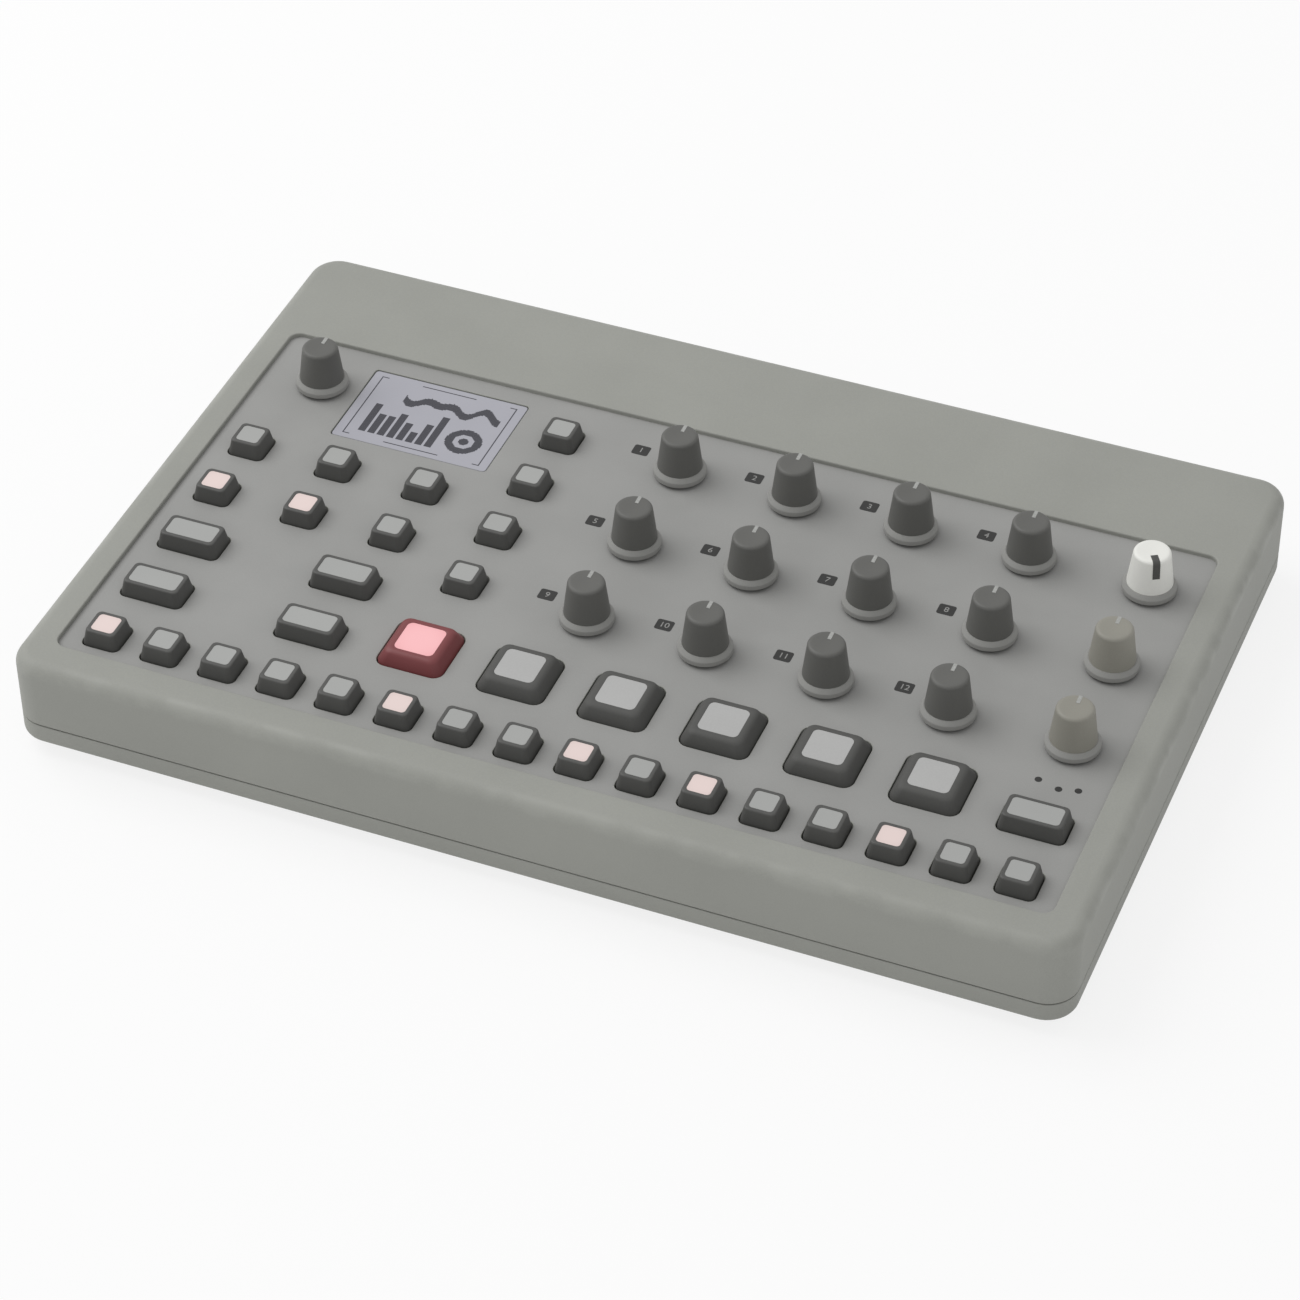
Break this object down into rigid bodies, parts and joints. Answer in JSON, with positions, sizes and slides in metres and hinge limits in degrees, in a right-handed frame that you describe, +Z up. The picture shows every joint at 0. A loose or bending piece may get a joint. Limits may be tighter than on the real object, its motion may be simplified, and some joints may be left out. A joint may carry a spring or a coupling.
{
  "type": "drum machine",
  "caption": "Flat desktop drum machine: a recessed panel with a display, turning knobs, velocity pads and sprung keys, in a two-part case with audio and MIDI sockets at the back.",
  "frame": {"origin": "middle of the case's footprint, on the surface that the rubber feet stand on", "axes": "+X to the player's right along the width, +Y away from the player towards the sockets, +Z up"},
  "size_m": [0.27, 0.18, 0.04],
  "materials": {
    "case": "fine matt texture, warm grey",
    "keys": "dark grey sides, light grey satin tops",
    "pads": "light grey rubber top, dark sides",
    "knobs": "dark grey satin with a pale pointer",
    "send_knobs": "warm mid grey satin",
    "volume_knob": "off-white satin",
    "window": "clear window over a pale lavender display",
    "circuit_board": "green solder mask",
    "sockets": "black moulded sockets",
    "feet": "black rubber",
    "steel": "zinc plated"
  },
  "bodies": {
    "case": {"top_case": "case", "bottom_case": "case", "control_board": "circuit_board", "connector_board": "sockets", "display": "window", "rubber_feet": "feet", "screws": "steel"},
    "step_key_1": {"step_key_1": "keys"},
    "step_key_2": {"step_key_2": "keys"},
    "step_key_3": {"step_key_3": "keys"},
    "step_key_4": {"step_key_4": "keys"},
    "step_key_5": {"step_key_5": "keys"},
    "step_key_6": {"step_key_6": "keys"},
    "step_key_7": {"step_key_7": "keys"},
    "step_key_8": {"step_key_8": "keys"},
    "step_key_9": {"step_key_9": "keys"},
    "step_key_10": {"step_key_10": "keys"},
    "step_key_11": {"step_key_11": "keys"},
    "step_key_12": {"step_key_12": "keys"},
    "step_key_13": {"step_key_13": "keys"},
    "step_key_14": {"step_key_14": "keys"},
    "step_key_15": {"step_key_15": "keys"},
    "step_key_16": {"step_key_16": "keys"},
    "menu_key_1": {"menu_key_1": "keys"},
    "menu_key_2": {"menu_key_2": "keys"},
    "menu_key_3": {"menu_key_3": "keys"},
    "menu_key_4": {"menu_key_4": "keys"},
    "menu_key_5": {"menu_key_5": "keys"},
    "menu_key_6": {"menu_key_6": "keys"},
    "select_key_1": {"select_key_1": "keys"},
    "select_key_2": {"select_key_2": "keys"},
    "select_key_3": {"select_key_3": "keys"},
    "select_key_4": {"select_key_4": "keys"},
    "transport_key_1": {"transport_key_1": "keys"},
    "transport_key_2": {"transport_key_2": "keys"},
    "transport_key_3": {"transport_key_3": "keys"},
    "transport_key_4": {"transport_key_4": "keys"},
    "roll_key": {"roll_key": "keys"},
    "pad_1": {"pad_1": "pads"},
    "pad_2": {"pad_2": "pads"},
    "pad_3": {"pad_3": "pads"},
    "pad_4": {"pad_4": "pads"},
    "pad_5": {"pad_5": "pads"},
    "pad_6": {"pad_6": "pads"},
    "param_knob_1": {"param_knob_1": "knobs"},
    "param_knob_2": {"param_knob_2": "knobs"},
    "param_knob_3": {"param_knob_3": "knobs"},
    "param_knob_4": {"param_knob_4": "knobs"},
    "param_knob_5": {"param_knob_5": "knobs"},
    "param_knob_6": {"param_knob_6": "knobs"},
    "param_knob_7": {"param_knob_7": "knobs"},
    "param_knob_8": {"param_knob_8": "knobs"},
    "param_knob_9": {"param_knob_9": "knobs"},
    "param_knob_10": {"param_knob_10": "knobs"},
    "param_knob_11": {"param_knob_11": "knobs"},
    "param_knob_12": {"param_knob_12": "knobs"},
    "send_knob_1": {"send_knob_1": "send_knobs"},
    "send_knob_2": {"send_knob_2": "send_knobs"},
    "volume_knob": {"volume_knob": "volume_knob"},
    "level_knob": {"level_knob": "knobs"}
  },
  "joints": [
    {"name": "step_key_1_press", "type": "slide", "parent": "case", "child": "step_key_1", "axis": [0, 0, -1], "range_m": [0, 0.001], "stiffness_N_per_m": 500, "springref_m": -0.0006},
    {"name": "step_key_2_press", "type": "slide", "parent": "case", "child": "step_key_2", "axis": [0, 0, -1], "range_m": [0, 0.001], "stiffness_N_per_m": 500, "springref_m": -0.0006},
    {"name": "step_key_3_press", "type": "slide", "parent": "case", "child": "step_key_3", "axis": [0, 0, -1], "range_m": [0, 0.001], "stiffness_N_per_m": 500, "springref_m": -0.0006},
    {"name": "step_key_4_press", "type": "slide", "parent": "case", "child": "step_key_4", "axis": [0, 0, -1], "range_m": [0, 0.001], "stiffness_N_per_m": 500, "springref_m": -0.0006},
    {"name": "step_key_5_press", "type": "slide", "parent": "case", "child": "step_key_5", "axis": [0, 0, -1], "range_m": [0, 0.001], "stiffness_N_per_m": 500, "springref_m": -0.0006},
    {"name": "step_key_6_press", "type": "slide", "parent": "case", "child": "step_key_6", "axis": [0, 0, -1], "range_m": [0, 0.001], "stiffness_N_per_m": 500, "springref_m": -0.0006},
    {"name": "step_key_7_press", "type": "slide", "parent": "case", "child": "step_key_7", "axis": [0, 0, -1], "range_m": [0, 0.001], "stiffness_N_per_m": 500, "springref_m": -0.0006},
    {"name": "step_key_8_press", "type": "slide", "parent": "case", "child": "step_key_8", "axis": [0, 0, -1], "range_m": [0, 0.001], "stiffness_N_per_m": 500, "springref_m": -0.0006},
    {"name": "step_key_9_press", "type": "slide", "parent": "case", "child": "step_key_9", "axis": [0, 0, -1], "range_m": [0, 0.001], "stiffness_N_per_m": 500, "springref_m": -0.0006},
    {"name": "step_key_10_press", "type": "slide", "parent": "case", "child": "step_key_10", "axis": [0, 0, -1], "range_m": [0, 0.001], "stiffness_N_per_m": 500, "springref_m": -0.0006},
    {"name": "step_key_11_press", "type": "slide", "parent": "case", "child": "step_key_11", "axis": [0, 0, -1], "range_m": [0, 0.001], "stiffness_N_per_m": 500, "springref_m": -0.0006},
    {"name": "step_key_12_press", "type": "slide", "parent": "case", "child": "step_key_12", "axis": [0, 0, -1], "range_m": [0, 0.001], "stiffness_N_per_m": 500, "springref_m": -0.0006},
    {"name": "step_key_13_press", "type": "slide", "parent": "case", "child": "step_key_13", "axis": [0, 0, -1], "range_m": [0, 0.001], "stiffness_N_per_m": 500, "springref_m": -0.0006},
    {"name": "step_key_14_press", "type": "slide", "parent": "case", "child": "step_key_14", "axis": [0, 0, -1], "range_m": [0, 0.001], "stiffness_N_per_m": 500, "springref_m": -0.0006},
    {"name": "step_key_15_press", "type": "slide", "parent": "case", "child": "step_key_15", "axis": [0, 0, -1], "range_m": [0, 0.001], "stiffness_N_per_m": 500, "springref_m": -0.0006},
    {"name": "step_key_16_press", "type": "slide", "parent": "case", "child": "step_key_16", "axis": [0, 0, -1], "range_m": [0, 0.001], "stiffness_N_per_m": 500, "springref_m": -0.0006},
    {"name": "menu_key_1_press", "type": "slide", "parent": "case", "child": "menu_key_1", "axis": [0, 0, -1], "range_m": [0, 0.001], "stiffness_N_per_m": 500, "springref_m": -0.0006},
    {"name": "menu_key_2_press", "type": "slide", "parent": "case", "child": "menu_key_2", "axis": [0, 0, -1], "range_m": [0, 0.001], "stiffness_N_per_m": 500, "springref_m": -0.0006},
    {"name": "menu_key_3_press", "type": "slide", "parent": "case", "child": "menu_key_3", "axis": [0, 0, -1], "range_m": [0, 0.001], "stiffness_N_per_m": 500, "springref_m": -0.0006},
    {"name": "menu_key_4_press", "type": "slide", "parent": "case", "child": "menu_key_4", "axis": [0, 0, -1], "range_m": [0, 0.001], "stiffness_N_per_m": 500, "springref_m": -0.0006},
    {"name": "menu_key_5_press", "type": "slide", "parent": "case", "child": "menu_key_5", "axis": [0, 0, -1], "range_m": [0, 0.001], "stiffness_N_per_m": 500, "springref_m": -0.0006},
    {"name": "menu_key_6_press", "type": "slide", "parent": "case", "child": "menu_key_6", "axis": [0, 0, -1], "range_m": [0, 0.001], "stiffness_N_per_m": 500, "springref_m": -0.0006},
    {"name": "select_key_1_press", "type": "slide", "parent": "case", "child": "select_key_1", "axis": [0, 0, -1], "range_m": [0, 0.001], "stiffness_N_per_m": 500, "springref_m": -0.0006},
    {"name": "select_key_2_press", "type": "slide", "parent": "case", "child": "select_key_2", "axis": [0, 0, -1], "range_m": [0, 0.001], "stiffness_N_per_m": 500, "springref_m": -0.0006},
    {"name": "select_key_3_press", "type": "slide", "parent": "case", "child": "select_key_3", "axis": [0, 0, -1], "range_m": [0, 0.001], "stiffness_N_per_m": 500, "springref_m": -0.0006},
    {"name": "select_key_4_press", "type": "slide", "parent": "case", "child": "select_key_4", "axis": [0, 0, -1], "range_m": [0, 0.001], "stiffness_N_per_m": 500, "springref_m": -0.0006},
    {"name": "transport_key_1_press", "type": "slide", "parent": "case", "child": "transport_key_1", "axis": [0, 0, -1], "range_m": [0, 0.001], "stiffness_N_per_m": 500, "springref_m": -0.0006},
    {"name": "transport_key_2_press", "type": "slide", "parent": "case", "child": "transport_key_2", "axis": [0, 0, -1], "range_m": [0, 0.001], "stiffness_N_per_m": 500, "springref_m": -0.0006},
    {"name": "transport_key_3_press", "type": "slide", "parent": "case", "child": "transport_key_3", "axis": [0, 0, -1], "range_m": [0, 0.001], "stiffness_N_per_m": 500, "springref_m": -0.0006},
    {"name": "transport_key_4_press", "type": "slide", "parent": "case", "child": "transport_key_4", "axis": [0, 0, -1], "range_m": [0, 0.001], "stiffness_N_per_m": 500, "springref_m": -0.0006},
    {"name": "roll_key_press", "type": "slide", "parent": "case", "child": "roll_key", "axis": [0, 0, -1], "range_m": [0, 0.001], "stiffness_N_per_m": 500, "springref_m": -0.0006},
    {"name": "pad_1_press", "type": "slide", "parent": "case", "child": "pad_1", "axis": [0, 0, -1], "range_m": [0, 0.001], "stiffness_N_per_m": 900, "springref_m": -0.0006},
    {"name": "pad_2_press", "type": "slide", "parent": "case", "child": "pad_2", "axis": [0, 0, -1], "range_m": [0, 0.001], "stiffness_N_per_m": 900, "springref_m": -0.0006},
    {"name": "pad_3_press", "type": "slide", "parent": "case", "child": "pad_3", "axis": [0, 0, -1], "range_m": [0, 0.001], "stiffness_N_per_m": 900, "springref_m": -0.0006},
    {"name": "pad_4_press", "type": "slide", "parent": "case", "child": "pad_4", "axis": [0, 0, -1], "range_m": [0, 0.001], "stiffness_N_per_m": 900, "springref_m": -0.0006},
    {"name": "pad_5_press", "type": "slide", "parent": "case", "child": "pad_5", "axis": [0, 0, -1], "range_m": [0, 0.001], "stiffness_N_per_m": 900, "springref_m": -0.0006},
    {"name": "pad_6_press", "type": "slide", "parent": "case", "child": "pad_6", "axis": [0, 0, -1], "range_m": [0, 0.001], "stiffness_N_per_m": 900, "springref_m": -0.0006},
    {"name": "param_knob_1_turn", "type": "hinge", "parent": "case", "child": "param_knob_1", "pos_m": [-0.0102, 0.0374, 0.0273], "axis": [0, 0, 1], "range_deg": [-150, 150]},
    {"name": "param_knob_2_turn", "type": "hinge", "parent": "case", "child": "param_knob_2", "pos_m": [0.02073, 0.0374, 0.0273], "axis": [0, 0, 1], "range_deg": [-150, 150]},
    {"name": "param_knob_3_turn", "type": "hinge", "parent": "case", "child": "param_knob_3", "pos_m": [0.05165, 0.0374, 0.0273], "axis": [0, 0, 1], "range_deg": [-150, 150]},
    {"name": "param_knob_4_turn", "type": "hinge", "parent": "case", "child": "param_knob_4", "pos_m": [0.08257, 0.0374, 0.0273], "axis": [0, 0, 1], "range_deg": [-150, 150]},
    {"name": "param_knob_5_turn", "type": "hinge", "parent": "case", "child": "param_knob_5", "pos_m": [-0.0102, 0.00688, 0.0273], "axis": [0, 0, 1], "range_deg": [-150, 150]},
    {"name": "param_knob_6_turn", "type": "hinge", "parent": "case", "child": "param_knob_6", "pos_m": [0.02073, 0.00688, 0.0273], "axis": [0, 0, 1], "range_deg": [-150, 150]},
    {"name": "param_knob_7_turn", "type": "hinge", "parent": "case", "child": "param_knob_7", "pos_m": [0.05165, 0.00688, 0.0273], "axis": [0, 0, 1], "range_deg": [-150, 150]},
    {"name": "param_knob_8_turn", "type": "hinge", "parent": "case", "child": "param_knob_8", "pos_m": [0.08257, 0.00688, 0.0273], "axis": [0, 0, 1], "range_deg": [-150, 150]},
    {"name": "param_knob_9_turn", "type": "hinge", "parent": "case", "child": "param_knob_9", "pos_m": [-0.0102, -0.02365, 0.0273], "axis": [0, 0, 1], "range_deg": [-150, 150]},
    {"name": "param_knob_10_turn", "type": "hinge", "parent": "case", "child": "param_knob_10", "pos_m": [0.02073, -0.02365, 0.0273], "axis": [0, 0, 1], "range_deg": [-150, 150]},
    {"name": "param_knob_11_turn", "type": "hinge", "parent": "case", "child": "param_knob_11", "pos_m": [0.05165, -0.02365, 0.0273], "axis": [0, 0, 1], "range_deg": [-150, 150]},
    {"name": "param_knob_12_turn", "type": "hinge", "parent": "case", "child": "param_knob_12", "pos_m": [0.08257, -0.02365, 0.0273], "axis": [0, 0, 1], "range_deg": [-150, 150]},
    {"name": "send_knob_1_turn", "type": "hinge", "parent": "case", "child": "send_knob_1", "pos_m": [0.1135, 0.00688, 0.0273], "axis": [0, 0, 1], "range_deg": [-150, 150]},
    {"name": "send_knob_2_turn", "type": "hinge", "parent": "case", "child": "send_knob_2", "pos_m": [0.1135, -0.02365, 0.0273], "axis": [0, 0, 1], "range_deg": [-150, 150]},
    {"name": "volume_knob_turn", "type": "hinge", "parent": "case", "child": "volume_knob", "pos_m": [0.1135, 0.0374, 0.0273], "axis": [0, 0, 1], "range_deg": [0, 300]},
    {"name": "level_knob_turn", "type": "hinge", "parent": "case", "child": "level_knob", "pos_m": [-0.1102, 0.0374, 0.0273], "axis": [0, 0, 1], "continuous": true}
  ]
}
